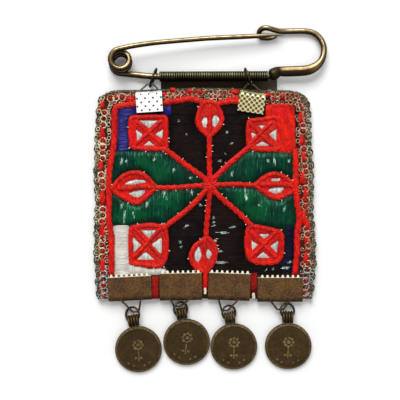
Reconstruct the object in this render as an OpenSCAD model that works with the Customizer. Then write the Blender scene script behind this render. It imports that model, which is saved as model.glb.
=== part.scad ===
// Safety pin brooch, lying on its back as it would on a table.
// A large bent-wire safety pin carries a padded, embroidered square of cloth on two clips.
// Four crimps along the cloth's lower edge carry four pierced coins.
// X runs along the pin, Y from the coins up to the pin, Z out of the front face.

/* [Pin] */
// Thickness of the wire in the lower bar and the bend
bar_wire = 2.3; // [2:0.1:2.3]
// Thickness of the wire in the spring coil
coil_wire = 2.04; // [1.8:0.04:2.08]
// Thickness of the arm that opens
arm_wire = 1.8; // [1.4:0.1:1.8]
// Radius of the coil, to the middle of its wire
coil_r = 3.4; // [3.3:0.05:3.5]
// Rise of the coil in one turn
coil_pitch = 2.2; // [2.2:0.02:2.3]
// How far the coil's front turn leans up the face from its rear turn
coil_lean = 1.5; // [0:0.1:1.6]

/* [Wire wrap] */
// Outer diameter of the fine wire wound on the lower bar
wrap_d = 3.9; // [3.5:0.1:4]
// Number of turns of fine wire
wrap_turns = 47; // [30:1:50]

/* [Cloth] */
// Thickness of the padded cloth at its edge
cloth_edge = 2.9; // [2:0.1:3]
// Height of the padded cloth at its middle
cloth_crown = 3.3; // [3:0.1:3.3]
// Thickness of the braid that edges the cloth
braid_h = 3; // [2.4:0.1:3.2]

/* [Clips and crimps] */
// Thickness of a folded clip or crimp, front to back
fold_h = 3.9; // [3.8:0.1:4.2]
// Thickness of the sheet metal
sheet_t = 0.45; // [0.3:0.05:0.5]
// Width of a top clip
clip_w = 9.6; // [9:0.1:10]
// Height of a top clip
clip_l = 7.8; // [7:0.1:8]
// Pitch of the teeth on a bottom crimp
tooth_pitch = 1.87; // [1.6:0.01:2.2]
// Height of a tooth
tooth_h = 0.9; // [0.5:0.1:1.1]

/* [Rings and coins] */
// Wire of the top rings
ring_wire = 0.8; // [0.6:0.05:0.85]
// Wire of the coins' rings
link_wire = 0.8; // [0.6:0.05:0.85]
// Diameter of a coin
coin_d = 17.2; // [16.5:0.1:17.4]
// Thickness of a coin's field
coin_t = 0.85; // [0.7:0.05:1]

/* [Hidden] */
$fn = 48;
wire_sides = 20;
coil_turns = 2.5;

// The pin lies tilted: rings under its bar lift it, and its clasp drops to the surface
bar_y = 45;
bar_z = 2.9;
tilt_x = 0.028;
tilt_y = -0.15;

// Lower bar, bend, top wire and clasp: x, y, lift off the pin's plane, thickness factor, width of the lap joint
frame_table = [
  [-32.7, 46.2, 0, 0.93, 0],
  [-28, 45.75, 0, 0.97, 0],
  [-23, 45.2, 0, 1, 0],
  [-19, 45.02, 0, 1, 0],
  [-12, 45, 0, 1, 0],
  [0, 45, 0, 1, 0],
  [12, 45, 0, 1, 0],
  [18, 45, 0, 1, 0],
  [20.6, 45, 0, 1, 0],
  [21.4, 45.05, 0, 1, 0],
  [22, 45.3, 0, 1.6, 0.2],
  [22.9, 45.9, 0, 1.85, 0.3],
  [24.2, 46.9, 0, 1.45, 0.6],
  [25.4, 47.35, 0, 1.08, 1.2],
  [27.5, 47.5, 0, 1, 1.5],
  [34.4, 47.8, 0, 1, 1.5],
  [37.2, 48.5, 0, 1, 1.2],
  [39.4, 49.8, 0, 1, 0.6],
  [40.9, 51.8, 0, 1, 0.1],
  [41.5, 54.4, 0, 0.98, 0],
  [41.3, 56.8, 0, 0.96, 0],
  [40.1, 59.3, 0, 0.94, 0],
  [38, 61.1, 0, 0.92, 0],
  [35, 61.9, 0, 0.9, 0],
  [29, 61.9, 0.1, 0.9, 0],
  [25.5, 61.8, 0.7, 0.88, 0],
  [23, 62.2, 1.6, 0.86, 0],
  [20.8, 62.75, 2.1, 0.86, 0],
  [19, 62.7, 1.8, 0.85, 0],
  [17.9, 61.8, 1, 0.83, 0],
  [17.8, 60.6, 0.2, 0.8, 0],
  [18.7, 59.6, -0.2, 0.76, 0],
  [20.4, 59.3, -0.25, 0.72, 0],
  [22.2, 59.4, -0.2, 0.66, 0],
  [23.8, 59.8, -0.1, 0.5, 0]
];

// Arm that opens: x, y, z, thickness factor
arm_table = [
  [-33.2, 54.6, 6.35, 1.08],
  [-29.5, 55.45, 6.25, 1.06],
  [-22.2, 56.65, 5.8, 1.03],
  [-14.9, 57.45, 5.3, 1],
  [-7.7, 58.15, 4.75, 1],
  [-0.4, 58.8, 4.25, 1],
  [7, 59.2, 3.85, 1],
  [14.3, 59.6, 3.5, 0.98],
  [18.7, 59.85, 3.3, 0.86],
  [22.6, 60.1, 3.15, 0.6],
  [26.6, 60.2, 3, 0.18]
];

// Coil: middle of its rear turn, and the arc left out before the arm's root
coil_x = -33.2;
coil_y = 49.6;
coil_end_gap = 20;

// Wire wrap: its two ends along the bar
wrap_x0 = -18.9;
wrap_x1 = 20.9;
wrap_bore = 2.56;

// Braid round the cloth, from the lower left corner to the lower right: x, y, width
braid_table = [
  [-38.9, -37, 3.2],
  [-39.4, -31.5, 4],
  [-39.6, -26, 4.2],
  [-40, -13, 4.4],
  [-40.3, -4, 4.2],
  [-39.8, 3.3, 3.8],
  [-40.6, 8.8, 4],
  [-39.9, 14, 4.2],
  [-39.4, 20, 4.6],
  [-39, 26.5, 4.6],
  [-38.9, 31.5, 4.2],
  [-38.2, 34.9, 4],
  [-35.6, 37, 4],
  [-32, 37.35, 4.4],
  [-25, 37.4, 4.8],
  [-10, 37.7, 5.2],
  [5, 37.8, 5.2],
  [18, 37.4, 5],
  [26, 37, 4.8],
  [30.2, 36.4, 4.4],
  [32.5, 34.4, 4.4],
  [33.2, 31, 4.2],
  [33.6, 20, 4.6],
  [34.3, 13, 4.8],
  [34.5, 3, 4.6],
  [34.3, -6, 4.2],
  [34.9, -12, 4.6],
  [35.4, -17, 5],
  [35.6, -27, 4.8],
  [35.3, -33, 4.2],
  [34.7, -37, 3.4]
];
braid_steps = 3;
braid_bump = 0.22;
braid_gap = 0.25;
cloth_bottom = -36.6;

// Top clips: x, y, turn, length of the triangular loop, sideways lean of its tip
clip_left_row = [-22.65, 35.75, 3.8, 2.38, 0.75];
clip_right_row = [14.95, 35.55, -9, 2.4, -1.46];
clip_tip_z = 3.2;
dent_drop = 0.2;

// Top rings: x, y, turn from the Y axis, radius to the middle of the wire
ring_left_row = [-21.15, 44.32, -20, 3.45];
ring_right_row = [13.5, 44.3, 17.5, 3.55];

// Bottom crimps: x, y, turn, width, height, then the triangular loop's length, lean and height of its tip
crimp_table = [
  [-29.75, -32.85, 3, 16, 9.1, 4.26, 1.6, 1.8],
  [-11.1, -32.2, 1, 15.5, 10.2, 2.18, -1.53, 2.07],
  [6.7, -32.2, -2, 15.3, 10.2, 3.77, -1.34, 2.21],
  [25.35, -33.3, 0, 16.5, 9.1, 2.8, 0.13, 1.83]
];

// Rings that carry the coins: x, y, z, turn, lean about the line from coin to crimp, radius
link_table = [
  [-28.87, -42.61, 2.05, -10.55, -25, 2.75],
  [-11.14, -40.5, 2.35, 18, 21.3, 2.6],
  [6.6, -41.8, 2.33, 15.3, 20.7, 2.6],
  [28.08, -41.05, 2.28, 45.15, 17.05, 2.6]
];

// Coins: x, y, turn, turn of the picture on its face
coin_table = [
  [-26.75, -55.3, 9.5, -7],
  [-9, -52.65, 10, -17],
  [8.45, -54.3, 8.4, -9],
  [28.5, -54.15, 1.6, -5]
];
bail_r = 2;
bail_wire = 0.8;
bail_rings = 4;
bail_pitch = 1;
bail_seat = 0.4;
rim_w = 0.7;
relief_h = 0.3;
petals = 8;
petal_ring = 1.6;
petal_r = 0.56;
flower_y = 1.7;
stem_w = 0.5;
stem_foot = -4.4;
dot_ring = 6.3;
loop_wire = 0.7;
solder_d = 0.76;
solder_l = 0.6;

// Clearance between the cloth and the metal folded over it
spare = 0.12;
sheet_top = sheet_t + spare;

// Height of the pin's own plane over the surface
function plane_z(x, y) = bar_z + tilt_x * x + tilt_y * (y - bar_y);

function unit(v) = v / norm(v);

function place(row) = [row[0], row[1], row[2]];

// A smooth curve through four rows, with every column carried along
function between(a, b, c, d, t) =
  0.5 * (2 * b + (c - a) * t + (2 * a - 5 * b + 4 * c - d) * t * t + (3 * b - a - 3 * c + d) * t * t * t);

function smooth(rows, steps) = concat(
  [for (i = [0:len(rows) - 2])
    for (k = [0:steps - 1])
      between(rows[max(i - 1, 0)], rows[i], rows[i + 1], rows[min(i + 2, len(rows) - 1)], k / steps)],
  [rows[len(rows) - 1]]
);

// Direction of a route at row i
function heading(rows, i) =
  unit(place(rows[min(i + 1, len(rows) - 1)]) - place(rows[max(i - 1, 0)]));

// Rows of a wire are x, y, z, radius, lap. The lap widens the wire to its outer side, as an oval.
function wire_ring(rows, i, sides) =
  let (t = heading(rows, i), side = unit(cross(t, [0, 0, 1])), up = cross(side, t), r = rows[i][3], half = rows[i][4] / 2)
  [for (k = [0:sides - 1])
    let (a = 360 * (k + 0.5) / sides)
      place(rows[i]) + side * ((r + half) * cos(a) + half) + up * r * sin(a)];

// Extra rows that round a wire's end, dir pointing out of it
function end_rows(row, dir, angles) =
  [for (a = angles)
    let (p = place(row) + dir * row[3] * sin(a))
      [p[0], p[1], p[2], row[3] * cos(a), row[4]]];

function round_first(rows) = concat(end_rows(rows[0], -heading(rows, 0), [72, 45, 20]), rows);

function round_last(rows) =
  concat(rows, end_rows(rows[len(rows) - 1], heading(rows, len(rows) - 1), [20, 45, 72]));

// A closed skin over rings of equal point counts
module skin(rings) {
  n = len(rings[0]);
  last = len(rings) - 1;
  polyhedron(
    points = [for (ring = rings) each ring],
    faces = concat(
      [[for (k = [n - 1:-1:0]) k]],
      [for (i = [0:last - 1])
        for (k = [0:n - 1])
          each let (a = i * n + k, b = i * n + (k + 1) % n) [[a, b, b + n], [a, b + n, a + n]]],
      [[for (k = [0:n - 1]) last * n + k]]
    ),
    convexity = 10
  );
}

module wire(rows, sides = wire_sides) {
  skin([for (i = [0:len(rows) - 1]) wire_ring(rows, i, sides)]);
}

module torus(radius, wire_d) {
  rotate_extrude()
    translate([radius, 0])
      circle(d = wire_d, $fn = 24);
}

// A round rod between two points
module rod(from, to, d) {
  run = to - from;
  length = norm(run);
  translate(from)
    rotate([0, acos(run[2] / length), atan2(run[1], run[0])])
      cylinder(d = d, h = length, $fn = 24);
}

module pin_frame() {
  rows = [for (row = smooth(frame_table, 3))
    [row[0], row[1], plane_z(row[0], row[1]) + row[2], bar_wire * row[3] / 2, row[4]]];
  color("#8f7c4c")
    wire(round_last(rows));
}

module pin_coil() {
  steps = 46;
  sweep = 360 * coil_turns - coil_end_gap;
  rear_z = plane_z(coil_x, coil_y);
  rows = [for (i = [0:steps])
    let (turn = sweep * i / steps, a = -90 - turn, lift = turn / 360)
      [
        coil_x + coil_r * cos(a),
        coil_y + coil_r * sin(a) + coil_lean * lift / coil_turns,
        rear_z + tilt_y * coil_r * sin(a) + tilt_x * coil_r * cos(a) + coil_pitch * lift,
        coil_wire / 2,
        0
      ]];
  color("#7d6c42")
    wire(rows);
}

module pin_arm() {
  rows = [for (row = smooth(arm_table, 2)) [row[0], row[1], row[2], arm_wire * row[3] / 2, 0]];
  color("#a08e5c")
    wire(round_last(round_first(rows)));
}

// Fine wire wound close on the bar, one ridge to a turn
module wire_wrap() {
  length = wrap_x1 - wrap_x0;
  pitch = length / wrap_turns;
  groove = wrap_d / 2 - 0.22;
  ridge = wrap_d / 2;
  color("#6f6448")
    translate([wrap_x0, bar_y, plane_z(wrap_x0, bar_y)])
      rotate([0, 90 - atan(tilt_x), 0])
        rotate_extrude()
          polygon(concat(
            [[wrap_bore / 2, 0]],
            [for (i = [0:wrap_turns - 1])
              each [
                [groove, pitch * i],
                [ridge, pitch * (i + 0.3)],
                [ridge, pitch * (i + 0.7)]
              ]],
            [[groove, length], [wrap_bore / 2, length]]
          ));
}

// A jump ring standing on edge round the bar and a clip's loop
module top_ring(row) {
  color("#4f4a3a")
    translate([row[0], row[1], row[3] + ring_wire / 2])
      rotate([0, 0, row[2]])
        rotate([0, 90, 0])
          torus(row[3], ring_wire);
}

// Sheet metal folded round an edge: open towards -Y, fold towards +Y, in the middle of its own width
module fold(width, height) {
  r = fold_h / 2;
  inner = r - sheet_t;
  straight = height - r;
  translate([-width / 2, 0, r])
    rotate([90, 0, 90])
      linear_extrude(width)
        difference() {
          union() {
            translate([-height / 2, -r])
              square([straight, fold_h]);
            translate([height / 2 - r, 0])
              circle(r);
          }
          translate([-height / 2 - 1, -inner])
            square([straight + 1, 2 * inner]);
          translate([height / 2 - r, 0])
            circle(inner);
        }
}

// Triangular wire loop soldered to a fold, half its base wide and a short bar at its tip
module triangle_loop(base, foot_y, foot_z, tip_x, tip_y, tip_z) {
  tip = 1.1;
  for (s = [-1, 1]) {
    rod([s * base, foot_y, foot_z], [tip_x + s * tip, tip_y, tip_z], loop_wire);
    translate([tip_x + s * tip, tip_y, tip_z])
      rotate([90, 0, 0])
        cylinder(d = solder_d, h = solder_l, center = true);
  }
  rod([tip_x - tip, tip_y, tip_z], [tip_x + tip, tip_y, tip_z], loop_wire);
}

// Round dents in a diamond grid on a clip's face: step, radius, depth, steps to each side and up
module dents(step, radius, depth, wide, tall) {
  for (i = [-wide:wide])
    for (j = [-tall:tall])
      if ((i + j) % 2 == 0)
        translate([i * step, j * step - dent_drop, fold_h - depth])
          cylinder(r = radius, h = 1, $fn = 16);
}

module top_clip(row) {
  translate([row[0], row[1], 0])
    rotate([0, 0, row[2]]) {
      difference() {
        fold(clip_w, clip_l);
        children();
      }
      triangle_loop(clip_w / 2 - 0.7, clip_l / 2 - 0.25, 2, row[4], clip_l / 2 + row[3], clip_tip_z);
    }
}

module clip_left() {
  color("#d9d9d2")
    top_clip(clip_left_row)
      dents(1.46, 0.36, 0.25, 3, 2);
}

module clip_right() {
  color("#9b8a5a")
    top_clip(clip_right_row)
      dents(0.95, 0.46, 0.25, 4, 3);
}

// Plan of the metal folded over an edge, from a line across it to well past its fold
module fold_plan(row, width, height, from) {
  past = 2.4;
  translate([row[0], row[1]])
    rotate(row[2])
      translate([-width / 2 - spare, from])
        square([width + 2 * spare, height / 2 + past - from]);
}

// Where the back sheets lie, or with noses_only where the folds close
module fold_plans(noses_only) {
  clip_from = noses_only ? (clip_l - fold_h) / 2 : -clip_l / 2 - spare;
  fold_plan(clip_left_row, clip_w, clip_l, clip_from);
  fold_plan(clip_right_row, clip_w, clip_l, clip_from);
  for (row = crimp_table)
    mirror([0, 1])
      fold_plan(
        [row[0], -row[1], -row[2]],
        row[3],
        row[4],
        noses_only ? (row[4] - fold_h) / 2 : -row[4] / 2 - spare
      );
}

// Cloth between two heights. Below the back sheets' upper side it leaves room for the whole sheets.
module layer(from, to) {
  translate([0, 0, from])
    linear_extrude(to - from)
      difference() {
        children();
        fold_plans(from > 0);
      }
}

braid_rows = smooth(braid_table, braid_steps);

// Unit vector in the XY plane from the braid's middle towards the cloth
function inward(i) =
  let (
    a = braid_rows[max(i - 1, 0)],
    b = braid_rows[min(i + 1, len(braid_rows) - 1)],
    t = unit([b[0] - a[0], b[1] - a[1]])
  )
  [t[1], -t[0]];

// One edge of the braid in plan, which swells and shrinks with each of its loops
function braid_edge(side, inset) =
  [for (i = [0:len(braid_rows) - 1])
    let (row = braid_rows[i], n = inward(i), bump = i % 2 == 0 ? 0 : braid_bump, off = side * (row[2] / 2 - inset - bump))
      [row[0] + n[0] * off, row[1] + n[1] * off]];

function reversed(list) = [for (i = [len(list) - 1:-1:0]) list[i]];

module braid_plan(inset) {
  polygon(concat(braid_edge(1, inset), reversed(braid_edge(-1, inset))));
}

module border_braid() {
  color("#a2453a") {
    layer(0, sheet_top)
      braid_plan(0.5);
    layer(sheet_top, braid_h - 0.5)
      braid_plan(0);
    layer(braid_h - 0.5, braid_h)
      braid_plan(0.6);
  }
}

// The cloth's outline follows the braid's own rows, a little inside it
cloth_outline = concat(
  [[-35.5, cloth_bottom + 0.5]],
  [for (k = [1:len(braid_table) - 2])
    let (i = k * braid_steps, row = braid_rows[i], n = inward(i), off = row[2] / 2 + braid_gap)
      [row[0] + n[0] * off, row[1] + n[1] * off]],
  [[31, cloth_bottom + 0.5], [29.5, cloth_bottom], [-34, cloth_bottom]]
);
cloth_middle = [-2.8, -0.8];

// The outline drawn in towards its middle
module cloth_plan(share) {
  polygon([for (p = cloth_outline) cloth_middle + (p - cloth_middle) * share]);
}

module cloth_panel() {
  color("#1f5a43") {
    layer(0, sheet_top)
      cloth_plan(1);
    layer(sheet_top, cloth_edge)
      cloth_plan(1);
    layer(cloth_edge, cloth_crown)
      cloth_plan(0.95);
  }
}

// Teeth stand along the open edge of a crimp's front sheet
module teeth(width, height) {
  count = floor(width / tooth_pitch);
  start = -(count - 1) * tooth_pitch / 2;
  translate([0, -height / 2, fold_h - sheet_t])
    linear_extrude(sheet_t)
      for (i = [0:count - 1])
        translate([start + i * tooth_pitch, 0])
          polygon([[-0.6, 0.2], [0.6, 0.2], [0.25, -tooth_h], [-0.25, -tooth_h]]);
}

module crimp(row) {
  color("#6e5733")
    translate([row[0], row[1], 0])
      rotate([0, 0, row[2]])
        mirror([0, 1, 0]) {
          fold(row[3], row[4]);
          teeth(row[3], row[4]);
          triangle_loop(4, row[4] / 2 - 1.2, fold_h - 0.25, row[6], row[4] / 2 + row[5], row[7]);
        }
}

bail_out = bail_r + bail_wire / 2;

// A coin's ring passes through its crimp's loop and its bail
module link(i) {
  row = link_table[i];
  color("#4a4636")
    translate(place(row))
      rotate([0, 0, row[3]])
        rotate([0, row[4], 0])
          torus(row[5], link_wire);
}

// A raised round spot on the coin's face
module spot(x, y, r) {
  translate([x, y, 0])
    cylinder(r = r, h = relief_h, $fn = 20);
}

// A generic flower on a stem, a few dots and a plain rim, all raised on the coin's face
module relief() {
  rim_out = coin_d - 0.3;
  difference() {
    cylinder(d = rim_out, h = relief_h);
    translate([0, 0, -1])
      cylinder(d = rim_out - 2 * rim_w, h = relief_h + 2);
  }
  for (i = [0:petals - 1])
    let (a = 360 * i / petals)
      spot(petal_ring * cos(a), flower_y + petal_ring * sin(a), petal_r);
  spot(0, flower_y, 0.7);
  translate([-stem_w / 2, stem_foot, 0])
    cube([stem_w, flower_y - petal_ring - petal_r - 0.2 - stem_foot, relief_h]);
  for (s = [-1, 1])
    spot(s * 1, stem_foot + 1.2, 0.5);
  for (a = [-38, -19, 19, 38])
    spot(dot_ring * sin(a), -dot_ring * cos(a), 0.4);
}

// The coin leans a little, from its bail down to its lower rim
module coin(i) {
  row = coin_table[i];
  bail_y = coin_d / 2 + bail_out - bail_seat;
  lean = asin((bail_out - coin_t / 2) / (bail_y + coin_d / 2));
  color("#5c4c31")
    translate([row[0], row[1], 0])
      rotate([0, 0, row[2]]) {
        translate([0, -coin_d / 2, 0])
          rotate([lean, 0, 0])
            translate([0, coin_d / 2, 0]) {
              cylinder(d = coin_d, h = coin_t);
              translate([0, 0, coin_t - 0.01])
                rotate([0, 0, row[3]])
                  relief();
            }
        for (k = [0:bail_rings - 1])
          translate([(k - (bail_rings - 1) / 2) * bail_pitch, bail_y, bail_out])
            rotate([0, 90, 0])
              torus(bail_r, bail_wire);
      }
}

pin_frame();
pin_coil();
pin_arm();
wire_wrap();
top_ring(ring_left_row);  // ring_left
top_ring(ring_right_row);  // ring_right
clip_left();
clip_right();
cloth_panel();
border_braid();
crimp(crimp_table[0]);  // crimp_1
crimp(crimp_table[1]);  // crimp_2
crimp(crimp_table[2]);  // crimp_3
crimp(crimp_table[3]);  // crimp_4
link(0);  // link_1
link(1);  // link_2
link(2);  // link_3
link(3);  // link_4
coin(0);  // coin_1
coin(1);  // coin_2
coin(2);  // coin_3
coin(3);  // coin_4
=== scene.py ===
import random
from math import atan2, cos, dist, exp, hypot, radians, sin, sqrt, tan, tau

import bpy
from mathutils import Matrix, Vector


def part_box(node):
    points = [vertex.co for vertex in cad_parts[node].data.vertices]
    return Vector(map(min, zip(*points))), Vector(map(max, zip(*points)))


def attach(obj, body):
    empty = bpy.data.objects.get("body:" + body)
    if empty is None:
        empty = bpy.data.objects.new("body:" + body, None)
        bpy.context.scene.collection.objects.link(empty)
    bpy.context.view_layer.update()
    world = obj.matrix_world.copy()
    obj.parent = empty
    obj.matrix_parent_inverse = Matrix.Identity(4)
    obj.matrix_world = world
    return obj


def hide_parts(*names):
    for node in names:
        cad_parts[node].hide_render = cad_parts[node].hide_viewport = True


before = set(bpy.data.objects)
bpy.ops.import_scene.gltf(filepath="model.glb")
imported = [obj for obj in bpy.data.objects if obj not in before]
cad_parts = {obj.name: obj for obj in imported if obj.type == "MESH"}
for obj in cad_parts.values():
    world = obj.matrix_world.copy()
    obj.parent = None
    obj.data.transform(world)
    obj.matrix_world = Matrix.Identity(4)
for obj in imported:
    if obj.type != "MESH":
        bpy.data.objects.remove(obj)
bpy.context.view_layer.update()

mm = 0.001
dice = random.Random(7)
draw = dice.uniform

# Shapes are drawn on a grid of 400 by 400, as seen from straight above, and turned into millimetres
view = {"scale": 0.3665, "centreX": 211.0, "centreY": 199.0, "height": 330.0, "level": 3.5, "face": 3.3}


def at(px, py, z=view["face"]):
    near = (view["height"] - (z - view["level"])) / view["height"]
    x = 200 + (px - 200) * near
    y = 200 + (py - 200) * near
    return Vector(((x - view["centreX"]) * view["scale"], (view["centreY"] - y) * view["scale"], z))


def jog(by):
    # a random shift either way
    return draw(-by, by)


def flat(px, py):
    spot = at(px, py)
    return spot.x, spot.y


def gridOf(x, y):
    # back from millimetres to the drawing grid
    near = (view["height"] - (view["face"] - view["level"])) / view["height"]
    px = 200 + (x / view["scale"] + view["centreX"] - 200) / near
    py = 200 + (view["centreY"] - y / view["scale"] - 200) / near
    return px, py


# Shader sums are written as ordinary expressions on these
class Wire:
    def __init__(self, dye, socket):
        self.dye = dye
        self.socket = socket

    def sum(self, kind, *others, clamp=False):
        values = {0: self}
        for i, other in enumerate(others):
            values[i + 1] = other
        return self.dye.node("ShaderNodeMath", {"operation": kind, "use_clamp": clamp}, values)

    def __add__(self, other): return self.sum("ADD", other)
    def __radd__(self, other): return self.sum("ADD", other)
    def __sub__(self, other): return self.sum("SUBTRACT", other)
    def __rsub__(self, other): return self.dye.node("ShaderNodeMath", {"operation": "SUBTRACT"}, {0: other, 1: self})
    def __mul__(self, other): return self.sum("MULTIPLY", other)
    def __rmul__(self, other): return self.sum("MULTIPLY", other)
    def __truediv__(self, other): return self.sum("DIVIDE", other)
    def __gt__(self, other): return self.sum("GREATER_THAN", other)
    def __lt__(self, other): return self.sum("LESS_THAN", other)
    def sine(self): return self.sum("SINE")
    def floor(self): return self.sum("FLOOR")
    def round(self): return self.sum("ROUND")
    def size(self): return self.sum("ABSOLUTE")
    def capped(self): return self.sum("ADD", 0.0, clamp=True)

    def between(self, low, high):
        # 0 below low, 1 above high, smooth in the middle
        return self.dye.node("ShaderNodeMapRange", {"interpolation_type": "SMOOTHSTEP"}, {0: self, 1: low, 2: high})


class Dye:
    def __init__(self, name):
        self.material = bpy.data.materials.new(name)
        self.material.use_nodes = True
        self.tree = self.material.node_tree
        self.shader = self.tree.nodes["Principled BSDF"]

    def node(self, kind, settings=None, sockets=None, out=0):
        made = self.tree.nodes.new(kind)
        for key, value in (settings or {}).items():
            setattr(made, key, value)
        for key, value in (sockets or {}).items():
            self.put(made.inputs[key], value)
        return Wire(self, made.outputs[out])

    def put(self, socket, value):
        if isinstance(value, Wire):
            self.tree.links.new(value.socket, socket)
        else:
            socket.default_value = value

    def set(self, **values):
        for key, value in values.items():
            self.put(self.shader.inputs[key.replace("_", " ")], value)

    def place(self):
        # the point on the piece, in millimetres
        where = self.node("ShaderNodeTexCoord", out=3)
        return self.node("ShaderNodeVectorMath", {"operation": "SCALE"}, {0: where, 3: 1000.0})

    def axes(self, point):
        parts = self.tree.nodes.new("ShaderNodeSeparateXYZ")
        self.put(parts.inputs[0], point)
        return [Wire(self, s) for s in parts.outputs]

    def facing(self):
        # which way the surface faces on the piece itself
        return self.axes(self.node("ShaderNodeTexCoord", out=1))

    def stretched(self, point, x, y, z):
        return self.node("ShaderNodeVectorMath", {"operation": "MULTIPLY"}, {0: point, 1: (x, y, z)})

    def noise(self, point, scale, detail=3.0, rough=0.55):
        sockets = {"Vector": point, "Scale": scale, "Detail": detail, "Roughness": rough}
        return self.node("ShaderNodeTexNoise", {}, sockets)

    def cells(self, point, scale):
        return self.node("ShaderNodeTexVoronoi", {}, {"Vector": point, "Scale": scale})

    def mix(self, share, a, b, kind="MIX"):
        settings = {"data_type": "RGBA", "blend_type": kind}
        return self.node("ShaderNodeMix", settings, {0: share, 6: a, 7: b}, out=2)

    def layers(self, colour, *coats):
        # each coat: what it follows, where that starts and is full, how strong, and its ink
        for follows, start, full, share, tone in coats:
            colour = self.mix(follows.between(start, full) * share, colour, tone)
        return colour

    def bump(self, height, strength, distance):
        return self.node("ShaderNodeBump", {}, {"Height": height, "Strength": strength, "Distance": distance * mm})


def ink(r, g, b):
    # a screen colour, 0 to 255, as the shader wants it
    def straight(c):
        c = c / 255
        return c / 12.92 if c <= 0.04045 else ((c + 0.055) / 1.055) ** 2.4
    return straight(r), straight(g), straight(b), 1.0


# Simple finishes: the grain, two inks and where they change over, roughness and what the grain adds to it, bump
twoInks = {
    # the first finish paints sheen highlights as pale floss
    "paintedSheenFloss": {"grain": (1.6, 2, 0.5), "span": (0.35, 0.65), "inks": (ink(238, 250, 242), ink(120, 182, 156)),
                   "rough": (0.3, 0.2), "bump": (0.3, 0.05)},
    "paleFloss": {"grain": (2.0, 2, 0.5), "inks": (ink(255, 252, 240), ink(238, 214, 176)),
                  "rough": (0.4, 0.2), "bump": (0.3, 0.05)},
    "silverGimp": {"grain": (2.4, 3, 0.6), "span": (0.36, 0.62), "inks": (ink(226, 230, 226), ink(104, 108, 102)),
                   "rough": (0.38, 0), "bump": (0.5, 0.1), "fixed": {"Metallic": 0.45}},
    "oliveCord": {"grain": (1.6, 3, 0.6), "span": (0.38, 0.7), "inks": (ink(28, 29, 20), ink(112, 112, 86)),
                  "rough": (0.55, 0), "bump": (0.6, 0.12), "fixed": {"Metallic": 0.2, "Specular_IOR_Level": 0.3}},
    "paleBead": {"grain": (1.2, 2, 0.5), "span": (0.4, 0.6), "inks": (ink(236, 240, 226), ink(196, 178, 140)),
                 "rough": (0.35, 0), "bump": (0.3, 0.1)},
    "paleTable": {"grain": (0.5, 2, 0.5), "inks": (ink(251, 251, 250), ink(253, 253, 253)), "rough": (0.8, 0)},
}


def inkedDye(name):
    look = twoInks[name]
    dye = Dye(name)
    grain = dye.noise(dye.place(), *look["grain"])
    rough, more = look["rough"]
    share = grain.between(*look["span"]) if "span" in look else grain
    rough = rough + grain * more if more else rough
    dye.set(Base_Color=dye.mix(share, *look["inks"]), Roughness=rough, **look.get("fixed", {}))
    if "bump" in look:
        dye.set(Normal=dye.bump(grain, *look["bump"]))
    return dye.material


# Metals: a painted highlight where the surface faces the light, dull between, and painted shade low on the sides and
# in the hollows; noise adds wear
agedMetal = {  # bright, dull and dark inks, roughness, and how far the wear and painted highlight reach
    "pinBrass": ((238, 222, 184), (116, 95, 60), (32, 26, 17), 0.26, 0.7),
    "wrapWire": ((160, 150, 120), (84, 76, 54), (18, 16, 10), 0.36, 0.66),
    "darkWire": ((176, 164, 130), (74, 66, 48), (20, 17, 12), 0.36, 0.6),
    "coinBronze": ((180, 152, 102), (118, 95, 55), (60, 47, 26), 0.46, 0.42),
    "crimpBrass": ((138, 100, 50), (96, 61, 23), (50, 32, 14), 0.5, 0.5),
    "paleBrass": ((255, 248, 214), (222, 206, 146), (58, 48, 20), 0.34, 0.78),
    # near-white, a painted reflection of the lamp on the left clip
    "paintedReflectionPlate": ((255, 254, 250), (244, 243, 236), (46, 44, 56), 0.42, 1.0),
}


def metalDye(name, coat, extra=None, solid=1.0):
    bright, dull, dark = (ink(*tone) for tone in agedMetal[coat][:3])
    rough, brightReach = agedMetal[coat][3:]
    dye = Dye(name)
    point = dye.place()
    ahead, upward = dye.facing()[1:]
    cloud = dye.noise(point, 0.22, 4, 0.6)
    fine = dye.noise(point, 3.2, 3, 0.6)
    # painted highlight where the surface faces the light above and a little towards the pin, painted shade on the
    # sides; the noise adds wear
    crown = upward.size() * 0.92 + ahead * 0.4
    lighterShare = (crown * 1.2 + (cloud - 0.5) * 0.5 + (fine - 0.5) * 0.3 + (brightReach - 1.15)).capped()
    colour = dye.layers(dark, (lighterShare, 0.08, 0.6, 1.0, dull), (lighterShare, 0.62, 1.0, 0.85, bright))
    rough = rough + (1 - lighterShare) * 0.2 + (fine - 0.5) * 0.1
    height = fine * 0.6
    if extra:
        colour, rough, height = extra(dye, point, colour, rough, height, bright, dark)
    dye.set(Base_Color=colour, Roughness=rough, Metallic=solid, Normal=dye.bump(height, 0.2, 0.1))
    return dye.material


def crimpFace(top, turn):
    # a rolled crossed grain with dark pits, and a painted highlight on the teeth
    def extra(dye, point, colour, rough, height, bright, dark):
        x, y, z = dye.axes(point)
        shake = dye.noise(point, 0.7, 3, 0.6) * 14
        grain = ((x + y) * 5.2 + shake).sine() * ((x - y) * 5.2 - shake).sine()
        pits = dye.cells(point, 1.25)
        speck = dye.noise(point, 1.5, 4, 0.75)
        drift = dye.noise(point, 0.3, 3, 0.6)
        # painted highlight along the teeth
        rim = y - x * tan(radians(turn))
        colour = dye.layers(
            colour, (drift, 0.46, 0.6, 0.5, ink(114, 78, 34)), (drift, 0.5, 0.38, 0.6, ink(62, 44, 22)),
            (speck, 0.54, 0.64, 0.55, ink(146, 110, 52)), (speck, 0.48, 0.38, 0.75, ink(44, 28, 20)),
            (grain, 0.1, 0.8, 0.2, bright), (grain, -0.1, -0.8, 0.35, dark),
            (rim, top - 1.15, top - 0.8, 1.0, ink(255, 246, 222)))
        return colour, rough, height + grain * 0.35 + pits * 0.8
    return extra


def onPiece(x, y, x0, y0, turn):
    # across and up on a piece that lies turned, from its own middle
    cosTurn, sinTurn = cos(radians(turn)), sin(radians(turn))
    return (x - x0) * cosTurn + (y - y0) * sinTurn, (y - y0) * cosTurn - (x - x0) * sinTurn


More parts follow.
